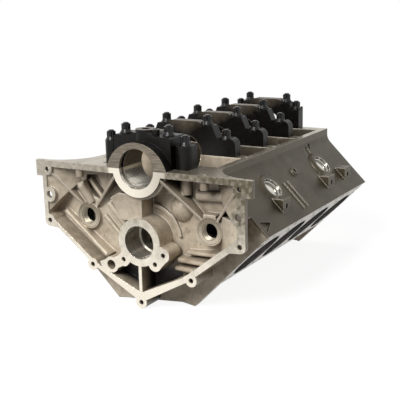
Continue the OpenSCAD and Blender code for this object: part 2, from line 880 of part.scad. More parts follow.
module crankcase_room() {
    for (k = cylinders)
        along_y(mains[k] + web_t / 2, mains[k + 1] - web_t / 2)
            bay_outline();
    rod_y([0, 0], main_r, -cut, block_len + cut);
    rod_y([0, 0], groove_r, groove_y, groove_y + groove_w);
    rod_y([0, -cam_drop], cam_r, -cut, block_len + cut);
}

module bank_holes(bank) {
    bank_frame(bank) {
        for (k = cylinders) {
            y = cyl_y(bank, k);
            translate([0, y, sleeve_foot - 4])
                cylinder(r = sleeve_r, h = deck_h - sleeve_foot + 4 + cut);
            for (x = [-head_row_far, head_row_near + 5])
                for (step = [-17, 17])
                    translate([x * 0.97, y + step * 1.6, deck_h - coolant_len])
                        cylinder(r = coolant_r, h = coolant_len + cut);
        }
        for (k = [0:4])
            for (x = [-head_row_far, -head_row_near, head_row_near])
                translate([x, cyl_y(bank, 0) + (k - 0.5) * bore_pitch, deck_h - head_bolt_len])
                    cylinder(r = head_bolt_r, h = head_bolt_len + cut);
        for (y = dowel_places(bank))
            translate([-head_row_near, y, deck_h - deck_dowel_len])
                cylinder(r = deck_dowel_r, h = deck_dowel_len + cut);
    }
}

// Dowel holes lie near the ends of each deck
function dowel_places(bank) = [bank_y0[bank] + deck_dowel_r * 3 + 6, bank_y1[bank] - deck_dowel_r * 3 - 6];

module lifter_bores() {
    for (bank = banks)
        for (k = cylinders)
            for (step = [-lifter_y, lifter_y])
                on_side(bank)
                    translate([0, cyl_y(bank, k) + step, -cam_drop])
                        rotate([0, 135, 0])
                            cylinder(r = lifter_r, h = lifter_top + cut);
}

module lifter_ledges() {
    for (bank = banks)
        on_side(bank)
            along_y(bank_y0[bank] + cut, bank_y1[bank] - cut)
                translate([0, -cam_drop])
                    rotate(-45)
                        translate([cam_bay_r, -lifter_ledge])
                            square([lifter_top - cam_bay_r, lifter_ledge * 2]);
}

module rear_holes() {
    both_sides() {
        for (spot = [[side_bolt_x, -upper_bolt_z], [side_bolt_x, -lower_bolt_z], [rim_bolt_x, -rim_bolt_z]])
            rod_y(spot, bell_bolt_r, -cut, bell_bolt_len);
        rod_y([dowel_x, -dowel_z], dowel_r, -cut, bell_bolt_len);
        rod_y([port_x, -port_z], port_r, port_face - cut, port_face + port_len);
        rod_y([port_x, -port_z], port_throat_r, port_face, port_face + port_len + port_throat_len);
    }
    rod_y([0, -tip_bolt_z], bell_bolt_r, -cut, bell_bolt_len);
    for (lug = cam_lugs)
        rod_y(lug, cam_bolt_r, -cut, cam_bolt_len);
    rod_y(oil_hole, cam_bolt_r * 2, -cut, bank_y0[left] - cut);
}

// Registers that the main caps sit in, a little under the pan rail
module cap_registers() {
    register(ring_half(), -cut, ring_len + cut);
    register(rear_body_x, ring_len, cap_y1[0]);
    register(rear_cap_x, rear_ear_y, rear_ear_y + rear_ear_len);
    for (k = [1:3])
        register(cap_x, cap_y0[k], cap_y1[k]);
    register(front_cap_x, cap_y0[4], cap_y1[4]);
}

module register(half_x, y0, y1) {
    x = half_x + register_gap;
    translate([-x, y0 - register_gap, -register_in])
        cube([x * 2, y1 - y0 + 2 * register_gap, register_in + cut]);
}

// Half width of the seal ring where the rear cap meets the casting
function ring_half() = sqrt(pow(ring_r, 2) - pow(ring_drop - register_in, 2));

module rail_holes() {
    both_sides() {
        for (k = [1:3])
            rod_z(rail_bolt_x, mains[k], rail_bolt_r, -rail_bolt_len, cut);
        rod_z(port_x + 2, stub_r + 2, rail_bolt_r, -rail_bolt_len, cut);
        rod_z(flange_x, flange_t / 2, rail_bolt_r * 0.8, -rail_bolt_len, cut);
        for (place = concat(inner_places, outer_places))
            rod_z(place[0], place[1], stud_r, -stud_depth, cut);
    }
}

module wall_holes() {
    for (bank = banks) {
        wall_frame(bank)
            for (k = [0, 2])
                translate([plug_w, plug_y(bank, k), pad_out - plug_hole_len])
                    cylinder(r = plug_r, h = plug_hole_len + cut);
        wall_frame(bank)
            translate([sensor_w, sensor_y, pad_out - sensor_r])
                cylinder(r = sensor_r / 2, h = sensor_r + cut);
        on_side(bank) {
            for (y = [starter_y, mount_mid_y - mount_y, mount_mid_y + mount_y])
                rod_x(y, -mount_z, mount_r, mount_x - mount_hole_len, mount_x + cut);
            rod_x(mount_mid_y, -mount_top_z, mount_r, rail_x - 12, rail_x + rail_sweep_r);
        }
    }
}

// Pads for the water pump, level on both banks
module pump_pads() {
    both_sides()
        rod_y(water_port(), water_r * 1.6, bank_y1[left] - cut, block_len);
}

// Hollow behind the timing cover, with a ring left round each bore
module timing_hollow() {
    along_y(block_len - timing_len, block_len + cut)
        difference() {
            intersection() {
                union() {
                    circle(timing_r);
                    bar([0, 0], [0, -cam_drop], timing_r * 1.6);
                    translate([0, -cam_drop])
                        circle(timing_r * 0.85);
                }
                translate([-timing_r, -valley_z - timing_r])
                    square([timing_r * 2, valley_z + timing_r - top_bar]);
            }
            circle(main_r + 8);
            translate([0, -cam_drop])
                circle(cam_r + 8);
        }
}

module front_holes() {
    bolt_ring = timing_r + 7;
    for (turn = [0, 20, 45])
        both_sides()
            rod_y([bolt_ring * cos(turn), -top_bar - bolt_ring * sin(turn)], rail_bolt_r,
                block_len - rail_bolt_len, block_len + cut);
    both_sides() {
        rod_y([bolt_ring * 0.75, -cam_drop - timing_r * 0.5], rail_bolt_r,
            block_len - rail_bolt_len, block_len + cut);
        rod_y(water_port(), water_r, block_len - water_len, block_len + cut);
        for (side = [-1, 1])
            rod_y(water_port() + side * [water_r, -water_r] * 1.25, head_bolt_r,
                block_len - water_len, block_len + cut);
    }
}

// Middle of a water pump port in the section
function water_port() = [(deck_h - water_in) / root2, -(deck_h - water_in) / root2] - [bank_in, bank_in] / 3;

module block_casting() {
    color(cast_colour)
        difference() {
            union() {
                difference() {
                    union() {
                        crankcase();
                        bank_slabs();
                        rear_bowl();
                        haunches();
                    }
                    // What stands in the pockets is left uncut, so none of it reaches out of the bowl
                    difference() {
                        pockets();
                        rear_bosses();
                        left_ridges();
                        right_ridges();
                    }
                    wall_recesses();
                }
                end_walls();
                lifter_ledges();
                wall_details();
                pump_pads();
            }
            crankcase_room();
            for (bank = banks)
                bank_holes(bank);
            lifter_bores();
            rear_holes();
            cap_registers();
            rail_holes();
            wall_holes();
            timing_hollow();
            front_holes();
        }
}

// Cylinder sleeves and cam bearings

module sleeve(bank, k) {
    color(iron_colour)
        bank_frame(bank)
            translate([0, cyl_y(bank, k), sleeve_foot])
                difference() {
                    cylinder(r = sleeve_r, h = deck_h - sleeve_foot);
                    translate([0, 0, -cut])
                        cylinder(r = cyl_r, h = deck_h - sleeve_foot + 2 * cut);
                }
}

module cam_bearing(k) {
    middle = [0, -cam_drop];
    y0 = mains[k] - cam_bearing_len / 2;
    color(bearing_colour)
        difference() {
            rod_y(middle, cam_r, y0, y0 + cam_bearing_len);
            rod_y(middle, cam_r - cam_bearing_wall, y0 - cut, y0 + cam_bearing_len + cut);
        }
}

// Main caps

// Clears the bearing bore, the studs and the seats of their washers in a cap
module cap_cuts(places) {
    rod_y([0, 0], main_r, -cut, block_len + cut);
    both_sides()
        for (place = places) {
            rod_z(place[0], place[1], stud_r + stud_gap, -register_in - cut, place[2] + cut);
            rod_z(place[0], place[1], washer_r + seat_gap, place[2], pump_z + cut);
        }
}

// Right half of a middle cap
module cap_half() {
    shoulder_r = cap_shoulder / 2.6;
    polygon([
        [-cut, -register_in], [cap_x, -register_in], [cap_x, cap_shoulder - shoulder_r],
        [cap_x - shoulder_r, cap_shoulder],
        [outer_stud_x - washer_r - 4, cap_shoulder],
        [inner_stud_x + washer_r + 3, inner_seat + 1], [inner_stud_x, inner_seat + 2],
        [inner_stud_x - washer_r - 6, cap_z], [-cut, cap_z]
    ]);
    translate([cap_x - shoulder_r, cap_shoulder - shoulder_r])
        circle(shoulder_r);
}

module middle_cap(k) {
    color(black_colour)
        difference() {
            along_y(cap_y0[k], cap_y1[k])
                both_sides()
                    cap_half();
            cap_cuts([inner_places[k], outer_places[k]]);
        }
}

module front_main_cap() {
    step_x = (inner_stud_x + front_stud_x) / 2;
    color(black_colour)
        difference() {
            along_y(cap_y0[4], cap_y1[4])
                polygon(both_halves([
                    [front_cap_x, -register_in], [front_cap_x, front_shoulder],
                    [step_x, front_shoulder], [step_x, inner_seat + 1], [inner_stud_x, inner_seat + 2],
                    [inner_stud_x - washer_r - 6, cap_z]
                ]));
            cap_cuts([inner_places[4], outer_places[4]]);
        }
}

module rear_main_cap() {
    ring_top = ring_r - ring_drop;
    ear_r = (rear_cap_x - rear_body_x) / 2;
    color(black_colour)
        difference() {
            union() {
                along_y(0, ring_len)
                    intersection() {
                        translate([0, -ring_drop])
                            circle(ring_r);
                        translate([-ring_r, -register_in])
                            square([ring_r * 2, register_in + ring_top + cut]);
                    }
                along_y(ring_len, cap_y1[0])
                    polygon(both_halves([
                        [rear_body_x, -register_in], [rear_body_x, inner_seat - 2],
                        [rear_body_x - 3, inner_seat + 1], [pump_boss_r + 8, inner_seat + 1],
                        [pump_boss_r, inner_seat + 6]
                    ]));
                both_sides() {
                    rod_z(rear_cap_x - ear_r, rear_ear_y + ear_r, ear_r, -register_in, end_seat + 1);
                    along_y(rear_ear_y + ear_r, rear_ear_y + rear_ear_len)
                        polygon([
                            [rear_body_x - cut, -register_in], [rear_cap_x, -register_in],
                            [rear_cap_x, end_seat - 3], [rear_cap_x - 3, end_seat + 1],
                            [rear_body_x - cut, end_seat + 1]
                        ]);
                }
                rod_z(0, pump_y, pump_boss_r, 1, pump_z);
                rod_z(pump_bolt_x, pump_y, pump_bolt_r * 2, 1, pump_z);
            }
            cap_cuts([inner_places[0], outer_places[0]]);
            rod_y([0, 0], groove_r, groove_y, groove_y + groove_w);
            rod_z(0, pump_y, pump_hole_r, main_r - cut, pump_z + cut);
            rod_z(pump_bolt_x, pump_y, pump_bolt_r, main_r - cut, pump_z + cut);
        }
}

// Studs, nuts and washers

module studs(places) {
    color(black_colour)
        both_sides()
            for (place = places) {
                top = place[2] + washer_t + nut_h + stud_out;
                rod_z(place[0], place[1], stud_r, -stud_depth, top - stud_tip);
                translate([place[0], place[1], top - stud_tip])
                    cylinder(r1 = stud_r, r2 = stud_r - stud_tip, h = stud_tip);
            }
}

module stud_nuts() {
    color(black_colour)
        both_sides()
            for (place = concat(inner_places, outer_places))
                translate([place[0], place[1], place[2] + washer_t])
                    difference() {
                        union() {
                            for (turn = [0, 30])
                                rotate(turn)
                                    cylinder(r = nut_r, h = nut_h, $fn = 6);
                            cylinder(r1 = nut_foot_r, r2 = nut_r * 0.8, h = nut_h / 2);
                        }
                        translate([0, 0, -cut])
                            cylinder(r = stud_r, h = nut_h + 2 * cut);
                    }
}

module stud_washers() {
    color(black_colour)
        both_sides()
            for (place = concat(inner_places, outer_places))
                difference() {
                    rod_z(place[0], place[1], washer_r, place[2], place[2] + washer_t);
                    rod_z(place[0], place[1], stud_r, place[2] - cut, place[2] + washer_t + cut);
                }
}

// Core plugs

module core_plugs() {
    color(plug_colour)
        for (bank = banks)
            wall_frame(bank)
                for (k = [0, 2])
                    translate([plug_w, plug_y(bank, k), pad_out - plug_set - plug_len])
                        difference() {
                            cylinder(r = plug_r, h = plug_len);
                            translate([0, 0, plug_wall])
                                cylinder(r = plug_r - plug_wall, h = plug_len);
                        }
}

block_casting();
sleeve(left, 0);  // sleeve_left_1
sleeve(left, 1);  // sleeve_left_2
sleeve(left, 2);  // sleeve_left_3
sleeve(left, 3);  // sleeve_left_4
sleeve(right, 0);  // sleeve_right_1
sleeve(right, 1);  // sleeve_right_2
sleeve(right, 2);  // sleeve_right_3
sleeve(right, 3);  // sleeve_right_4
rear_main_cap();
middle_cap(1);  // main_cap_2
middle_cap(2);  // main_cap_3
middle_cap(3);  // main_cap_4
front_main_cap();
studs(inner_places);  // inner_studs
studs(outer_places);  // outer_studs
stud_nuts();
stud_washers();
cam_bearing(0);  // cam_bearing_1
cam_bearing(1);  // cam_bearing_2
cam_bearing(2);  // cam_bearing_3
cam_bearing(3);  // cam_bearing_4
cam_bearing(4);  // cam_bearing_5
core_plugs();
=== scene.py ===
import math

import bmesh
import bpy
from mathutils import Matrix, Vector


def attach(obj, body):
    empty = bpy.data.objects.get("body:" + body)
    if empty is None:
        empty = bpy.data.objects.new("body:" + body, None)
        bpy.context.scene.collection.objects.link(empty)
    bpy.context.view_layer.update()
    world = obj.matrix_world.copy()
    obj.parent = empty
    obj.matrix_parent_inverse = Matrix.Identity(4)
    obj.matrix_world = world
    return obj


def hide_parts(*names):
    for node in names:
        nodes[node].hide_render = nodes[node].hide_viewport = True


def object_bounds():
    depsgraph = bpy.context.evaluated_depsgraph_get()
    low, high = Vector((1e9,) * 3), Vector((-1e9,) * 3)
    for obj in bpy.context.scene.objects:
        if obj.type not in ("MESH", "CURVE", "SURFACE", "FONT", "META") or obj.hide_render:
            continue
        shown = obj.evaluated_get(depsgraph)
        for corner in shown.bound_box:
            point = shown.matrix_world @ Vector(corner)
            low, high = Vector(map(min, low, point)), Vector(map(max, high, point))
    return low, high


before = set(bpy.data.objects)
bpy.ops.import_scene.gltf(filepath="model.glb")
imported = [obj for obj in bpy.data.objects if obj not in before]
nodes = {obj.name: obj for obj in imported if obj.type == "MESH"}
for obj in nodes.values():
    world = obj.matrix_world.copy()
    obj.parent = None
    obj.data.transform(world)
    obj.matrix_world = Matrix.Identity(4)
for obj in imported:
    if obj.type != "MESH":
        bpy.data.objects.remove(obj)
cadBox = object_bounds()
print("stage: frame loaded with", len(nodes), "nodes")


photoView = {
    "turn": 30.8332,  # degrees round the object, from straight behind the bellhousing face
    "rise": 13.8325,
    "roll": -1.4038,
    "focal": 855.876,  # in pixels of a picture 400 wide
    "picture": 400,
    "sensor": 36,
    "distance": 1.37953,
    "aim": (0.123653, 0.0, -0.039821),
    "nearest": 0.05,
    "farthest": 20,
}


def placeCamera(view):
    turn, rise, roll = (math.radians(view[key]) for key in ("turn", "rise", "roll"))
    back = Vector((math.sin(turn) * math.cos(rise), -math.cos(turn) * math.cos(rise), math.sin(rise)))
    level = Vector((math.cos(turn), math.sin(turn), 0))
    above = back.cross(level)
    across = level * math.cos(roll) + above * math.sin(roll)
    upward = above * math.cos(roll) - level * math.sin(roll)
    data = bpy.data.cameras.new("photoCamera")
    data.sensor_width = view["sensor"]
    data.lens = view["focal"] / view["picture"] * view["sensor"]
    data.clip_start = view["nearest"]
    data.clip_end = view["farthest"]
    camera = bpy.data.objects.new("photoCamera", data)
    bpy.context.scene.collection.objects.link(camera)
    turned = Matrix((across, upward, back)).transposed().to_4x4()
    camera.matrix_world = Matrix.Translation(Vector(view["aim"]) + back * view["distance"]) @ turned
    bpy.context.scene.camera = camera


placeCamera(photoView)
print("stage: camera placed")


class Wire:
    def __init__(self, net, socket):
        self.net = net
        self.socket = socket

    def maths(self, operation, other=0.0, swap=False):
        return self.net.add("Math", {"operation": operation}, [other, self] if swap else [self, other])

    def __add__(self, other):
        return self.maths("ADD", other)

    def __radd__(self, other):
        return self.maths("ADD", other, True)

    def __sub__(self, other):
        return self.maths("SUBTRACT", other)

    def __rsub__(self, other):
        return self.maths("SUBTRACT", other, True)

    def __mul__(self, other):
        return self.maths("MULTIPLY", other)

    def __rmul__(self, other):
        return self.maths("MULTIPLY", other, True)

    def __abs__(self):
        return self.maths("ABSOLUTE")

    def __lt__(self, other):
        return self.maths("LESS_THAN", other)

    def __gt__(self, other):
        return self.maths("GREATER_THAN", other)

    def __or__(self, other):
        return self.maths("MAXIMUM", other)


class Net:
    def __init__(self, owner):
        owner.use_nodes = True
        self.tree = owner.node_tree
        self.tree.nodes.clear()

    def add(self, kind, settings=None, sockets=None, output=0):
        node = self.tree.nodes.new("ShaderNode" + kind)
        for key, value in (settings or {}).items():
            if key == "stops":
                elements = node.color_ramp.elements
                for spot, (place, colour) in enumerate(value):
                    element = elements[spot] if spot < 2 else elements.new(place)
                    element.position = place
                    element.color = colour
            else:
                setattr(node, key, value)
        for key, value in sockets.items() if isinstance(sockets, dict) else enumerate(sockets or []):
            self.join(node.inputs[key], value)
        return Wire(self, node.outputs[output]) if node.outputs else None

    def join(self, socket, value):
        if isinstance(value, Wire):
            self.tree.links.new(value.socket, socket)
        else:
            socket.default_value = value

    def spread(self, value, low, high):
        return self.add("MapRange", None, {"Value": value, "From Min": low, "From Max": high})

    def seenDirectly(self):
        # 1 for what the camera sees plainly or by reflection, which gets the white background
        rays = self.add("LightPath").socket.node.outputs
        return (Wire(self, rays["Is Camera Ray"]) | Wire(self, rays["Is Glossy Ray"])
                | Wire(self, rays["Is Transmission Ray"]))


class Finish(Net):
    def __init__(self, name):
        self.material = bpy.data.materials.new(name)
        super().__init__(self.material)
        self.shader = self.add("BsdfPrincipled").socket.node
        self.add("OutputMaterial", None, [Wire(self, self.shader.outputs[0])])
        self.coords = self.add("TexCoord", output="Object")

    def axes(self):
        parts = self.add("SeparateXYZ", None, [self.coords]).socket.node
        return [Wire(self, part) for part in parts.outputs]

    def stretched(self, scale):
        return self.add("VectorMath", {"operation": "MULTIPLY"}, [self.coords, scale])

    def noise(self, size, detail, roughness, vector=None):
        return self.add("TexNoise", None, {"Vector": vector or self.coords, "Scale": 1 / size,
                                           "Detail": detail, "Roughness": roughness})

    def waver(self, pattern, amount):
        return amount * (pattern - 0.5)

    def mix(self, share, first, second):
        return self.add("Mix", {"data_type": "RGBA"}, {0: share, 6: first, 7: second}, 2)

    def blend(self, share, first, second):
        return first + share * (second - first)

    def ramp(self, value, *stops):
        return self.add("ValToRGB", {"stops": stops}, [value])

    def openness(self, reach, samples, onlyLocal=False):
        settings = {"samples": samples, "only_local": onlyLocal}
        return self.add("AmbientOcclusion", settings, {"Distance": reach}, "AO")

    def facingUp(self):
        return self.add("SeparateXYZ", None, [self.add("NewGeometry", output="True Normal")], "Z")

    def rounded(self, radius):
        return self.add("Bevel", {"samples": 6}, {"Radius": radius})

    def edges(self, normal):
        # how far the rounded normal turns away from the face's own
        own = self.add("NewGeometry", output="Normal")
        return 1 - self.add("VectorMath", {"operation": "DOT_PRODUCT"}, [normal, own], "Value")

    def finish(self, colour, roughness, metallic, gloss, bump, depth, strength, normal=None):
        for key, value in {"Base Color": colour, "Roughness": roughness, "Metallic": metallic,
                           "Specular IOR Level": gloss}.items():
            self.join(self.shader.inputs[key], value)
        sockets = {"Strength": strength, "Distance": depth, "Height": bump}
        if normal:
            sockets["Normal"] = normal
        self.join(self.shader.inputs["Normal"], self.add("Bump", None, sockets))
        return self.material


def shade(red, green, blue):
    def linear(value):
        part = value / 255
        return part / 12.92 if part <= 0.04045 else ((part + 0.055) / 1.055) ** 2.4
    return (linear(red), linear(green), linear(blue), 1.0)


castLook = {
    "light": shade(212, 199, 178),
    "middle": shade(192, 178, 157),
    "dark": shade(164, 149, 127),
    # painted shade for the corners and under the top bar
    "shaded": shade(108, 95, 80),
    # painted shade for the closed-in corners
    "cornerShade": shade(34, 28, 22),
    # painted highlight along the rounded edges
    "edge": shade(250, 243, 229),
    # the outer walls, painted dark as shade
    "wall": shade(84, 76, 58),
    "wallDark": shade(64, 57, 42),
    "wallNear": shade(84, 76, 60),  # painted wall shade, a little lighter towards the flange and low down
    "raised": shade(92, 83, 66),  # bosses on the outer walls, painted lighter than the shaded wall round them
    "portRing": shade(190, 179, 160),
    # painted shade for the port rings' upper parts, their grooves and the insides of the holes
    "portShade": shade(104, 94, 78),
    "bayShade": shade(86, 78, 64),  # painted shade inside the crankcase
    "rail": shade(190, 179, 160),
    # painted shade deep in the V under the rim
    "sumpShade": shade(30, 25, 21),
    "machined": shade(240, 231, 215),
    "machinedDark": shade(94, 87, 70),
    "deck": shade(164, 156, 142),
    "polished": shade(236, 229, 216),
    "polishedDark": shade(160, 155, 143),
    # painted shade deep in the port holes
    "throatShade": shade(16, 14, 12),
    "roughness": 0.42,
    "wallRoughness": 0.4,
    "machinedRoughness": 0.28,
    "polishedRoughness": 0.17,
    "skinWaver": 0.16,
    "milledWaver": 0.14,
    "turnedWaver": 0.2,
    "metal": 0.12,
    "wallMetal": 0.6,
    "machinedMetal": 0.75,
    "gloss": 0.5,
    "rounding": 0.0036,  # metres
    "machinedRounding": 0.0006,
    "grainBump": 0.7,
    "mottleBump": 1.1,
    "machinedBump": 0.03,
    "bumpDepth": 0.0006,
    "bumpStrength": 0.4,
    # patterns, each with its size in metres, its detail and its roughness
    "mottle": (0.011, 5, 0.62),
    "blotch": (0.05, 3, 0.55),
    "grain": (0.0012, 4, 0.7),
    "turned": (0.0009, 3, 0.6),
    "turnedStretch": (0.03, 1, 0.03),
    "milled": (0.009, 4, 0.55),
    "milledStretch": (1, 0.15, 1),
    # each range says where a tone starts and where it is full
    "openReach": 0.036,
    "openSamples": 10,
    "hollowRange": (0.05, 0.4),
    "shadedRange": (0.3, 0.78),
    "upperRange": (-0.12, -0.03),
    "upperLeast": 0.3,
    "rightwardRange": (-0.17, -0.02),
    "rightwardLeast": 0.5,
    # painted shade under the top bar, darker towards the rail
    "gloomRange": (-0.085, -0.012),
    "gloomWaver": 0.03,
    "gloomShare": 0.72,
    "edgeHighlightRange": (0.02, 0.25),
    "edgeHighlightShare": 0.7,
    "wallEdgeHighlightShare": 0.25,
    "skinStops": (0.38, 0.5, 0.62),
    "wallMottle": 0.35,
    "wallBlotch": 0.65,
    "wallRange": (0.38, 0.6),
    "wallNearTo": 0.15,
    "wallNearFade": (0.0, 0.06),
    "wallNearWaver": 0.04,
    "wallNearUnder": (0.03, 0.09),
    "bayRange": (0.2, 0.45),
    "darkerRange": (-0.19, -0.03),
    "darkerMottle": 0.12,
    "darkerBlotch": 0.14,
    "darkerLeast": 0.6,
    "darkerMilled": 0.8,
    "darkerMiddle": 0.3,
    "rightwardShade": 1.3,  # how much stronger the painted shade on the flange and rail gets with each metre to the right
    # painted shade on the ring face round the main bore
    "ringRange": (-0.01, 0.05),
    "ringWaver": 0.03,
    "ringShare": 0.4,
    "railRange": (0.3, 0.66),
    "railShare": 0.5,
    "turnedRange": (0.35, 0.7),
    "portRange": (-0.016, 0.014),
    "portWaver": 0.016,
    "portShare": 0.8,
}

layout = {  # places of faces, in metres, as the frame has them
    "front": 0.51604,
    "deck": 0.2292 * math.sqrt(2),
    "mainBore": 0.0355,
    "mainRing": 0.055,
    "mainRingFade": 0.0006,  # in square metres
    "camBore": 0.0303,
    "camDrop": 0.128,
    "portX": 0.125,
    "portZ": 0.100,
    "portFace": 0.026,
    "portHole": 0.0156,
    "portBoss": 0.0245,
    "portGroove": 0.0212,
    "portGrooveWidth": 0.0008,
    "portDeep": 0.0335,
    "portTo": 0.08,
    "plane": 0.00015,  # how near to its plane a machined face lies
    "wall": 0.11073,  # half width plus height over the crankshaft axis, on the outer walls
    "wallBand": (0.006, 0.0036),
    "wallFrom": 0.036,
    "wallSide": 0.128,
    "raisedRange": (0.0062, 0.008),  # how far a boss stands out of the wall
    "leafFrom": -0.0012,
    "leafUnder": -0.034,
    "pocketTo": 0.046,
    "baySide": 0.1185,
    "bayFrom": 0.17,
    "bayUnder": -0.11,
    "sumpSide": 0.060,
    "sumpRange": (0.004, 0.03),
    "sumpUnder": (0.166, 0.184),
    "sumpDeeper": 0.0085,  # how much deeper the right one of the two pockets is
}


def castAluminium(look, places):
    made = Finish("castAluminium")
    x, y, z = made.axes()
    side = abs(x)

    def near(value, target):
        return abs(value - target) < places["plane"]

    # machined faces lie on known planes, bores on known axes
    drop = z + places["camDrop"]
    bores = ((x * x + z * z) < places["mainBore"] ** 2) | ((x * x + drop * drop) < places["camBore"] ** 2)
    portSide = side - places["portX"]
    portDrop = z + places["portZ"]
    fromPort = portSide * portSide + portDrop * portDrop
    inPort = (fromPort < places["portHole"] ** 2) * (y < places["portTo"])
    ports = inPort | (fromPort < places["portBoss"] ** 2) * near(y, places["portFace"])
    rail = near(z, 0.0)
    flange = near(y, 0.0)
    deck = near(side - z, places["deck"])
    machined = flange | near(y, places["front"]) | rail | deck | bores | ports
    outside = made.spread(side + z, *(places["wall"] - band for band in places["wallBand"]))
    outside = outside * (y > places["wallFrom"]) * (side > places["wallSide"])
    fromWall = side + z - places["wall"]
    leaf = (fromWall < places["leafFrom"]) * (z < places["leafUnder"])
    raised = outside * (made.spread(fromWall, *places["raisedRange"]) | leaf)
    inBay = (side < places["baySide"]) * (y > places["bayFrom"]) * (z < 0.0) * (z > places["bayUnder"])
    # painted shade, nearly black, deep in the two pockets of the V under the rim
    sumpShade = (side < places["sumpSide"]) * (y < places["wallFrom"] + (x > 0.0) * places["sumpDeeper"])
    sumpShade = sumpShade * made.spread(y, *places["sumpRange"]) * made.spread(0.0 - z, *places["sumpUnder"])

    mottle, blotch, grain = (made.noise(*look[key]) for key in ("mottle", "blotch", "grain"))
    turned = made.noise(*look["turned"], made.stretched(look["turnedStretch"]))
    milled = made.noise(*look["milled"], made.stretched(look["milledStretch"]))
    evenly = mottle * 0.5 + blotch * 0.5
    openness = made.openness(look["openReach"], look["openSamples"], True)
    # painted shade in the corners, strongest near the rail and on the right
    rightward = made.blend(made.spread(x, *look["rightwardRange"]), look["rightwardLeast"], 1)
    upper = made.blend(made.spread(z, *look["upperRange"]), look["upperLeast"], 1) * rightward
    hollow = 1 - (1 - made.spread(openness, *look["hollowRange"])) * upper
    shaded = (1 - made.spread(openness, *look["shadedRange"])) * upper
    # painted shade under the top bar: the pocket darkens towards the rail
    gloom = made.spread(z + made.waver(blotch, look["gloomWaver"]), *look["gloomRange"])
    gloom = gloom * (y < places["pocketTo"]) * look["gloomShare"] * rightward
    normal = made.rounded(made.blend(machined, look["rounding"], look["machinedRounding"]))
    # painted highlight on the rounded edges of the cast skin
    edge = made.spread(made.edges(normal), *look["edgeHighlightRange"]) * (1 - machined) * hollow

    # the sand-cast skin with painted shade in its corners, and the outer walls painted darker as shade
    cast = made.ramp(evenly, *zip(look["skinStops"], (look["dark"], look["middle"], look["light"])))
    # painted shade: the outer walls are dark all over, lighter towards the flange and on their bosses
    wallSkin = made.spread(mottle * look["wallMottle"] + blotch * look["wallBlotch"], *look["wallRange"])
    wall = made.mix(wallSkin, look["wallDark"], look["wall"])
    fromFlange = look["wallNearTo"] - y + made.waver(blotch, look["wallNearWaver"])
    wallNear = made.spread(fromFlange, *look["wallNearFade"]) * made.spread(0.0 - z, *look["wallNearUnder"])
    wall = made.mix(wallNear, wall, look["wallNear"])
    wall = made.mix(raised, wall, look["raised"])
    cast = made.mix(outside, cast, wall)
    # painted shade inside the crankcase
    cast = made.mix(inBay * made.spread(evenly, *look["bayRange"]), cast, look["bayShade"])
    # painted shade in the corners and under the top bar
    cast = made.mix((shaded | gloom) * (1 - outside), cast, look["shaded"])
    # painted highlight: the rounded edges are lightened
    cast = made.mix(edge * made.blend(outside, look["edgeHighlightShare"], look["wallEdgeHighlightShare"]), cast, look["edge"])
    # painted shade: closed-in corners go towards a near-black brown
    cast = made.mix(hollow, look["cornerShade"], cast)
    cast = made.mix(sumpShade, cast, look["sumpShade"])

    # the flange and rail, bright low down, darker and mottled towards the rail, with painted shade growing to
    # the right
    height = z + made.waver(mottle, look["darkerMottle"]) + made.waver(blotch, look["darkerBlotch"])
    uneven = look["darkerLeast"] + look["darkerMilled"] * (milled - look["darkerMiddle"])
    # painted shade that grows to the right
    rightwardShade = 1 + look["rightwardShade"] * x
    darkened = made.spread(height, *look["darkerRange"]) * uneven * rightwardShade
    ringEdge = places["mainRing"] ** 2
    offRing = made.spread(x * x + z * z, ringEdge, ringEdge + places["mainRingFade"])
    # painted shade: the main bearing's ring face darkens towards the right
    ringShade = look["ringShare"] * made.spread(x + made.waver(mottle, look["ringWaver"]), *look["ringRange"])
    flat = made.mix(made.blend(offRing, ringShade, darkened), look["machined"], look["machinedDark"])
    # the rail's milled tone, with painted shade growing to the right
    railToneAndShade = made.spread(milled, *look["railRange"]) * look["railShare"] * rightwardShade
    flat = made.mix(rail, flat, made.mix(railToneAndShade, look["rail"], look["machinedDark"]))
    flat = made.mix(deck, flat, look["deck"])
    lathed = made.mix(made.spread(turned, *look["turnedRange"]), look["polished"], look["polishedDark"])
    flat = made.mix(bores, flat, lathed)
    grooveEdge = places["portGroove"] + places["portGrooveWidth"]
    groove = (fromPort > places["portGroove"] ** 2) * (fromPort < grooveEdge ** 2)
    # painted shade: the port rings darken towards the top and in their grooves
    portUpperShade = made.spread(portDrop + made.waver(mottle, look["portWaver"]), *look["portRange"])
    portTone = made.mix(portUpperShade * look["portShare"] | groove, look["portRing"], look["portShade"])
    flat = made.mix(ports, flat, portTone)
    # painted shade inside the port holes, darkest in their throats
    flat = made.mix(inPort * (y > places["portFace"] + places["plane"]), flat, look["portShade"])
    flat = made.mix(inPort * (y > places["portDeep"]), flat, look["throatShade"])

    colour = made.mix(machined, cast, flat)
    skin = made.blend(outside, look["roughness"], look["wallRoughness"])
    skin = skin + made.waver(mottle, look["skinWaver"])
    flatSkin = made.blend(bores, look["machinedRoughness"] + made.waver(milled, look["milledWaver"]),
                          look["polishedRoughness"] + made.waver(turned, look["turnedWaver"]))
    roughness = made.blend(machined, skin, flatSkin)
    metallic = made.blend(outside, look["metal"], look["wallMetal"])
    metallic = made.blend(machined, metallic, look["machinedMetal"])
    rough = grain * look["grainBump"] + mottle * look["mottleBump"]
    bump = made.blend(machined, rough, grain * look["machinedBump"])
    return made.finish(colour, roughness, metallic, look["gloss"], bump, look["bumpDepth"],
                       look["bumpStrength"], normal)


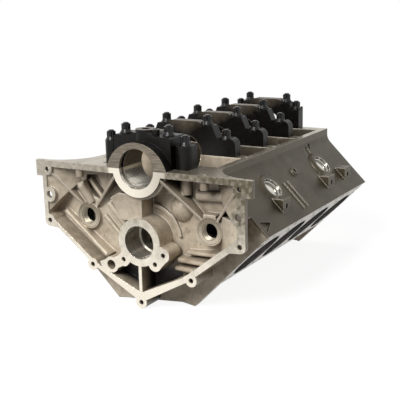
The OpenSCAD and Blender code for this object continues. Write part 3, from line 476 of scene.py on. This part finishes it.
blackLook = {
    "body": shade(9, 8, 7),
    "worn": shade(22, 19, 16),
    "top": shade(118, 109, 95),
    "paintedSheen": shade(96, 87, 74),  # painted sheen on the upper middle of each cap's face
    "ring": shade(142, 132, 118),
    "ringTo": 0.0002,
    "ringUnder": 0.0475,  # top of the seal ring, above the crankshaft axis
    "topFrom": 0.0570,
    "topFacing": 0.93,
    "mottle": (0.009, 4, 0.6),
    "grain": (0.0012, 3, 0.6),
    "streaks": (0.0022, 3, 0.55),
    "streakStretch": (0.08, 1, 1),
    "wornRange": (0.4, 0.75),
    "sheenRange": (0.030, 0.066),
    "sheenWaver": 0.02,
    "sheenSlope": 0.5,
    "sheenFrom": 0.05,
    "streakRange": (0.35, 0.7),
    "streakShare": 0.6,
    "roughness": 0.34,
    "waver": 0.12,
    "machinedRoughness": 0.38,
    "machinedWaver": 0.2,
    "metal": 0.0,
    "brightMetal": 0.8,
    "gloss": 0.2,
    "grainBump": 0.5,
    "streakBump": 0.4,
    "bumpDepth": 0.0004,
    "bumpStrength": 0.35,
    "rounding": 0.0012,
}


def blackCap(look, places):
    made = Finish("blackOxideCap")
    x, y, z = made.axes()
    mottle, grain = (made.noise(*look[key]) for key in ("mottle", "grain"))
    streaks = made.noise(*look["streaks"], made.stretched(look["streakStretch"]))
    top = (made.facingUp() > look["topFacing"]) * (z > look["topFrom"])
    ring = (y < look["ringTo"]) * (z < look["ringUnder"])
    bore = (x * x + z * z) < places["mainBore"] ** 2
    machined = top | ring | bore
    bright = ring | bore
    black = made.mix(made.spread(mottle, *look["wornRange"]), look["body"], look["worn"])
    # painted sheen: the upper middle of each cap's face is lighter and browner
    height = z + made.waver(mottle, look["sheenWaver"]) - look["sheenSlope"] * abs(x)
    paintedSheen = made.spread(height, *look["sheenRange"]) * (y > look["sheenFrom"])
    black = made.mix(paintedSheen, black, look["paintedSheen"])
    flat = made.mix(bright, look["top"], look["ring"])
    flat = made.mix(made.spread(streaks, *look["streakRange"]) * look["streakShare"], flat, look["worn"])
    colour = made.mix(machined, black, flat)
    roughness = made.blend(machined, look["roughness"] + made.waver(mottle, look["waver"]),
                           look["machinedRoughness"] + made.waver(streaks, look["machinedWaver"]))
    metallic = made.blend(bright, look["metal"], look["brightMetal"])
    bump = grain * look["grainBump"] + streaks * look["streakBump"]
    return made.finish(colour, roughness, metallic, look["gloss"], bump, look["bumpDepth"],
                       look["bumpStrength"], made.rounded(look["rounding"]))


metalLook = {
    "mottle": (4, 0.6),  # detail and roughness
    "grain": (3, 0.6),
    "grainFiner": 6,
    "darkRange": (0.35, 0.7),
    "waver": 0.14,
    "bumpDepth": 0.0002,
    "bumpStrength": 0.3,
    "kinds": {
        "blackStud": {"colour": shade(12, 11, 11), "dark": shade(28, 26, 24), "roughness": 0.26,
                      "metal": 0.0, "size": 0.004, "gloss": 0.3, "rounding": 0.0006},
        "sleeveIron": {"colour": shade(120, 118, 114), "dark": shade(92, 90, 87), "roughness": 0.34,
                       "metal": 0.9, "size": 0.006, "gloss": 0.5, "rounding": 0},
        "bearingMetal": {"colour": shade(176, 176, 172), "dark": shade(148, 146, 140), "roughness": 0.3,
                         "metal": 0.9, "size": 0.005, "gloss": 0.5, "rounding": 0},
    },
}


def plainMetal(look, name):
    kind = look["kinds"][name]
    made = Finish(name)
    mottle = made.noise(kind["size"], *look["mottle"])
    grain = made.noise(kind["size"] / look["grainFiner"], *look["grain"])
    tint = made.mix(made.spread(mottle, *look["darkRange"]), kind["colour"], kind["dark"])
    roughness = kind["roughness"] + made.waver(mottle, look["waver"])
    normal = made.rounded(kind["rounding"]) if kind["rounding"] else None
    return made.finish(tint, roughness, kind["metal"], kind["gloss"], grain, look["bumpDepth"],
                       look["bumpStrength"], normal)


sunkLook = {
    "mottle": (0.003, 3, 0.6),
    "samples": 8,
    "waver": 0.12,
    "metal": 0.9,
    "gloss": 0.5,
    "bumpDepth": 0.0002,
    "bumpStrength": 0.15,
    "kinds": {
        "platedPlug": {"colour": shade(222, 218, 208), "deep": shade(10, 9, 8), "roughness": 0.14,
                       "reach": 0.02, "litRange": (0.42, 0.92)},
        "cutThread": {"colour": shade(168, 158, 140), "deep": shade(14, 12, 10), "roughness": 0.42,
                      "reach": 0.012, "litRange": (0.2, 0.75)},
    },
}


def sunkMetal(look, name):
    # bright metal that lies in a hole, dark where little light gets in
    kind = look["kinds"][name]
    made = Finish(name)
    lit = made.spread(made.openness(kind["reach"], look["samples"]), *kind["litRange"])
    mottle = made.noise(*look["mottle"])
    roughness = kind["roughness"] + made.waver(mottle, look["waver"])
    return made.finish(made.mix(lit, kind["deep"], kind["colour"]), roughness, look["metal"], look["gloss"],
                       mottle, look["bumpDepth"], look["bumpStrength"])


finishes = {  # each goes on the nodes that have its word in their names
    "block": castAluminium(castLook, layout),
    "cap": blackCap(blackLook, layout),
    "sleeve": plainMetal(metalLook, "sleeveIron"),
    "stud": plainMetal(metalLook, "blackStud"),
    "bearing": plainMetal(metalLook, "bearingMetal"),
    "plug": sunkMetal(sunkLook, "platedPlug"),
    "thread": sunkMetal(sunkLook, "cutThread"),
}

for name, node in nodes.items():
    node.data.materials.clear()
    node.data.materials.append(next(finish for word, finish in finishes.items() if word in name))
print("stage: finishes on the frame")


def spin(solid, centre, axis, profile, steps=64):
    # turns a profile of (along, radius) round an axis; one that doesn't start on the axis closes on itself
    across = axis.orthogonal().normalized()
    upright = axis.cross(across)
    rings = []
    for along, radius in profile:
        middle = centre + axis * along
        turns = [2 * math.pi * step / steps for step in range(steps if radius else 1)]
        rings.append([solid.verts.new(middle + (across * math.cos(turn) + upright * math.sin(turn)) * radius)
                      for turn in turns])
    pairs = list(zip(rings, rings[1:]))
    if profile[0][1]:
        pairs.append((rings[-1], rings[0]))
    for first, second in pairs:
        for step in range(steps):
            after = (step + 1) % steps
            corners = [ring[place % len(ring)] for ring, place in
                       ((first, step), (first, after), (second, after), (second, step))]
            solid.faces.new(list(dict.fromkeys(corners)))


sharpFrom = 32  # degrees between two faces that keep a hard edge


def makePiece(name, solid, finish, replaced=None):
    bmesh.ops.recalc_face_normals(solid, faces=solid.faces)
    mesh = bpy.data.meshes.new(name)
    solid.to_mesh(mesh)
    solid.free()
    mesh.shade_smooth()
    mesh.set_sharp_from_angle(angle=math.radians(sharpFrom))
    mesh.materials.append(finish)
    piece = bpy.data.objects.new(name, mesh)
    bpy.context.scene.collection.objects.link(piece)
    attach(piece, "root")
    if replaced:
        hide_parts(replaced)
    print("stage:", name, "made,", len(mesh.polygons), "faces")


plugCup = {
    "wall": 0.0013,
    "floor": 0.0014,
    "foot": 0.001,  # slope round the closed end
    "lip": 0.0009,
    "corner": 0.0032,
    "cornerStep": 10,  # degrees
    "dish": 0.0016,
    "dishRings": (0.8, 0.6, 0.4, 0.2, 0),
}


def corePlugs(look):
    # each cup keeps the axis, radius and length of the solid that it stands for
    half = math.sqrt(0.5)
    solid = bmesh.new()
    points = [vertex.co.copy() for vertex in nodes["core_plugs"].data.vertices]
    for side in (-1, 1):
        bank = [point for point in points if point.x * side > 0]
        middle = (min(point.y for point in bank) + max(point.y for point in bank)) / 2
        for rearward in (True, False):
            cup = [point for point in bank if (point.y < middle) == rearward]
            lengths = [(side * point.x + point.z) * half for point in cup]
            drops = [(side * point.x - point.z) * half for point in cup]
            places = [point.y for point in cup]
            radius = (max(places) - min(places)) / 2
            drop = (max(drops) + min(drops)) / 2
            bottom, top = min(lengths), max(lengths)
            axis = Vector((side * half, 0, half))
            centre = Vector((side * half * drop, (max(places) + min(places)) / 2, -half * drop))
            inner = radius - look["wall"]
            floor = bottom + look["floor"]
            bend = [(floor + look["corner"] * (1 - math.sin(turn)),
                     inner - look["corner"] * (1 - math.cos(turn)))
                    for turn in map(math.radians, range(0, 91, look["cornerStep"]))]
            dish = [(floor + look["dish"] * (1 - share ** 2), (inner - look["corner"]) * share)
                    for share in look["dishRings"]]
            spin(solid, centre, axis, [
                (bottom, 0), (bottom, radius - look["foot"]), (bottom + look["foot"], radius),
                (top - look["lip"], radius), (top - look["lip"] / 3, radius - look["lip"] / 4),
                (top, radius - look["wall"] / 2), (top - look["lip"] / 3, inner + look["lip"] / 4),
                (top - look["lip"], inner)] + bend + dish)
    makePiece("corePlugCups", solid, finishes["plug"], "core_plugs")


portThread = {
    "outer": 0.0151,
    "root": 0.0146,
    "crest": 0.0137,
    "crestFrom": 0.35,  # shares of the pitch
    "crestTo": 0.6,
    "from": 0.0272,
    "pitch": 0.0018,
    "turns": 7,
}


def portThreads(look, places):
    solid = bmesh.new()
    profile = [(look["from"], look["outer"])]
    for turn in range(look["turns"]):
        start = look["from"] + turn * look["pitch"]
        profile += [(start, look["root"]), (start + look["pitch"] * look["crestFrom"], look["crest"]),
                    (start + look["pitch"] * look["crestTo"], look["crest"])]
    end = look["from"] + look["turns"] * look["pitch"]
    profile += [(end, look["root"]), (end, look["outer"])]
    for side in (-1, 1):
        spin(solid, Vector((side * places["portX"], 0, -places["portZ"])), Vector((0, 1, 0)), profile)
    makePiece("portThreads", solid, finishes["thread"])


ejectorMark = {
    "radius": 0.0042,
    "width": 0.0012,
    "height": 0.0007,
    "steps": 28,
    "spots": [  # across, height over the crankshaft axis, and the face that each stands on
        (-0.177, -0.103, 0.034), (-0.095, -0.138, 0.034), (-0.090, -0.163, 0.034), (-0.058, -0.069, 0.034),
        (0.072, -0.107, 0.044), (0.093, -0.128, 0.044),
    ],
}


def ejectorMarks(look):
    # thin raised rings that the mould's pins leave on the cast floor
    solid = bmesh.new()
    inner, outer = look["radius"] - look["width"] / 2, look["radius"] + look["width"] / 2
    high, low = look["height"], look["height"] * 0.5
    profile = [(-high, outer), (low, outer), (high, (inner + outer) / 2), (low, inner), (-high, inner)]
    for across, height, face in look["spots"]:
        spin(solid, Vector((across, face, height)), Vector((0, -1, 0)), profile, look["steps"])
    makePiece("ejectorMarks", solid, finishes["block"])


boltThread = {
    "largest": 0.0068,  # radius of the widest bolt hole
    "smallest": 0.0025,
    "outOfRound": 0.0002,
    "fewestCorners": 8,
    "sameSpot": 1e-6,
    "sameLevel": 2e-5,
    "faceTurn": 0.999,  # least for a face that looks outward
    "wallTurn": 0.1,  # most for the wall of a hole
    "start": 0.0006,
    "depth": 0.0095,
    "pitch": 0.0013,
    "height": 0.0006,
    "bite": 0.0001,  # how far a thread reaches into the wall of its hole
    "steps": 24,
}


def findHoles(mesh, outward, level, look):
    # centres and radii of the round holes in the flat face at this level
    solid = bmesh.new()
    solid.from_mesh(mesh)
    bmesh.ops.remove_doubles(solid, verts=solid.verts, dist=look["sameSpot"])
    solid.normal_update()
    rim = [edge for edge in solid.edges if len(edge.link_faces) == 2
           and all(abs(vertex.co.dot(outward) - level) < look["sameLevel"] for vertex in edge.verts)
           and sum(face.normal.dot(outward) > look["faceTurn"] for face in edge.link_faces) == 1]
    # a dictionary keeps its order, so each run makes the same threads
    waiting = dict.fromkeys(vertex for edge in rim for vertex in edge.verts)
    onRim = set(rim)
    holes = []
    while waiting:
        group = [waiting.popitem()[0]]
        for vertex in group:
            for edge in vertex.link_edges:
                other = edge.other_vert(vertex)
                if edge in onRim and other in waiting:
                    waiting.pop(other)
                    group.append(other)
        if len(group) < look["fewestCorners"]:
            continue
        centre = sum((vertex.co for vertex in group), Vector()) / len(group)
        reach = [(vertex.co - centre).length for vertex in group]
        wall = [face for face in group[0].link_faces if abs(face.normal.dot(outward)) < look["wallTurn"]]
        inward = wall and wall[0].normal.dot(centre - group[0].co) > 0
        fits = look["smallest"] < min(reach) and max(reach) < look["largest"]
        if fits and inward and max(reach) - min(reach) < look["outOfRound"]:
            holes.append((centre, sum(reach) / len(reach)))
    solid.free()
    return holes


def boltThreads(look, places):
    half = math.sqrt(0.5)
    solid = bmesh.new()
    faces = [((0, -1, 0), 0.0), ((0, 1, 0), places["front"]), ((0, 0, 1), 0.0)]
    faces += [((side * half, 0, -half), places["deck"] * half) for side in (-1, 1)]
    turns = int((look["depth"] - look["start"]) / look["pitch"])
    end = look["start"] + turns * look["pitch"]
    for outward, level in faces:
        outward = Vector(outward)
        holes = findHoles(nodes["block_casting"].data, outward, level, look)
        towards = [round(part, 1) for part in outward]
        print("stage:", len(holes), "bolt holes found in the face towards", towards)
        for centre, radius in holes:
            outer, root, crest = radius + look["bite"], radius - look["bite"], radius - look["height"]
            profile = [(look["start"], outer)]
            for turn in range(turns):
                begin = look["start"] + turn * look["pitch"]
                profile += [(begin, root), (begin + look["pitch"] / 2, crest)]
            profile += [(end, root), (end, outer)]
            spin(solid, centre, -outward, profile, look["steps"])
    makePiece("boltThreads", solid, finishes["thread"])


corePlugs(plugCup)
boltThreads(boltThread, layout)
portThreads(portThread, layout)
ejectorMarks(ejectorMark)


studio = {
    "floor": shade(100, 100, 100),
    "floorGlow": 0.9,  # brightness that the floor keeps in the object's shadow
    "floorLit": shade(150, 150, 150),
    "floorHalf": 6,
    "floorGap": 0.0005,  # under the lowest corner of the object
    "shadowReach": 0.8,
    "world": (1.0, 1.0, 1.0, 1.0),
    "worldLight": 0.10,
    "lamps": {
        "keyLamp": {"place": (-0.1, -1.85, 1.5), "size": 1.2, "power": 62.0},
        "sideLamp": {"place": (-1.9, 0.5, 1.3), "size": 1.0, "power": 14.0},
    },
    "aim": (0.0, 0.15, -0.1),
}


def lightStudio(look):
    for name, lamp in look["lamps"].items():
        data = bpy.data.lights.new(name, "AREA")
        data.size = lamp["size"]
        data.energy = lamp["power"]
        light = bpy.data.objects.new(name, data)
        bpy.context.scene.collection.objects.link(light)
        light.location = lamp["place"]
        light.rotation_mode = "QUATERNION"
        light.rotation_quaternion = (light.location - Vector(look["aim"])).to_track_quat("Z", "Y")
    world = bpy.data.worlds.new("studioWorld")
    bpy.context.scene.world = world
    net = Net(world)
    dim, plain = (net.add("Background", None, {"Color": look["world"], "Strength": strength})
                  for strength in (look["worldLight"], 1.0))
    net.add("OutputWorld", None, [net.add("MixShader", None, [net.seenDirectly(), dim, plain])])


def layFloor(look):
    half = look["floorHalf"]
    corners = [(-half, -half, 0), (half, -half, 0), (half, half, 0), (-half, half, 0)]
    mesh = bpy.data.meshes.new("studioFloor")
    mesh.from_pydata(corners, [], [(0, 1, 2, 3)])
    floor = bpy.data.objects.new("studioFloor", mesh)
    floor.location = (0, 0, cadBox[0].z - look["floorGap"])
    bpy.context.scene.collection.objects.link(floor)
    material = bpy.data.materials.new("floorPaper")
    net = Net(material)
    paper, lit = (net.add("BsdfDiffuse", None, {"Color": look[key]}) for key in ("floor", "floorLit"))
    glow, plain = (net.add("Emission", None, {"Strength": strength}) for strength in (look["floorGlow"], 1.0))
    near = net.add("AddShader", None, [lit, glow])
    # far from the object the floor is as white as the world behind it
    reach = net.add("VectorMath", {"operation": "LENGTH"}, [net.add("TexCoord", output="Object")], "Value")
    far = net.spread(reach, look["shadowReach"], look["shadowReach"] * 2)
    surface = net.add("MixShader", None, [far, near, plain])
    net.add("OutputMaterial", None, [net.add("MixShader", None, [net.seenDirectly(), paper, surface])])
    mesh.materials.append(material)


lightStudio(studio)
layFloor(studio)
bpy.context.scene.view_settings.view_transform = "Standard"
print("stage: studio lit")
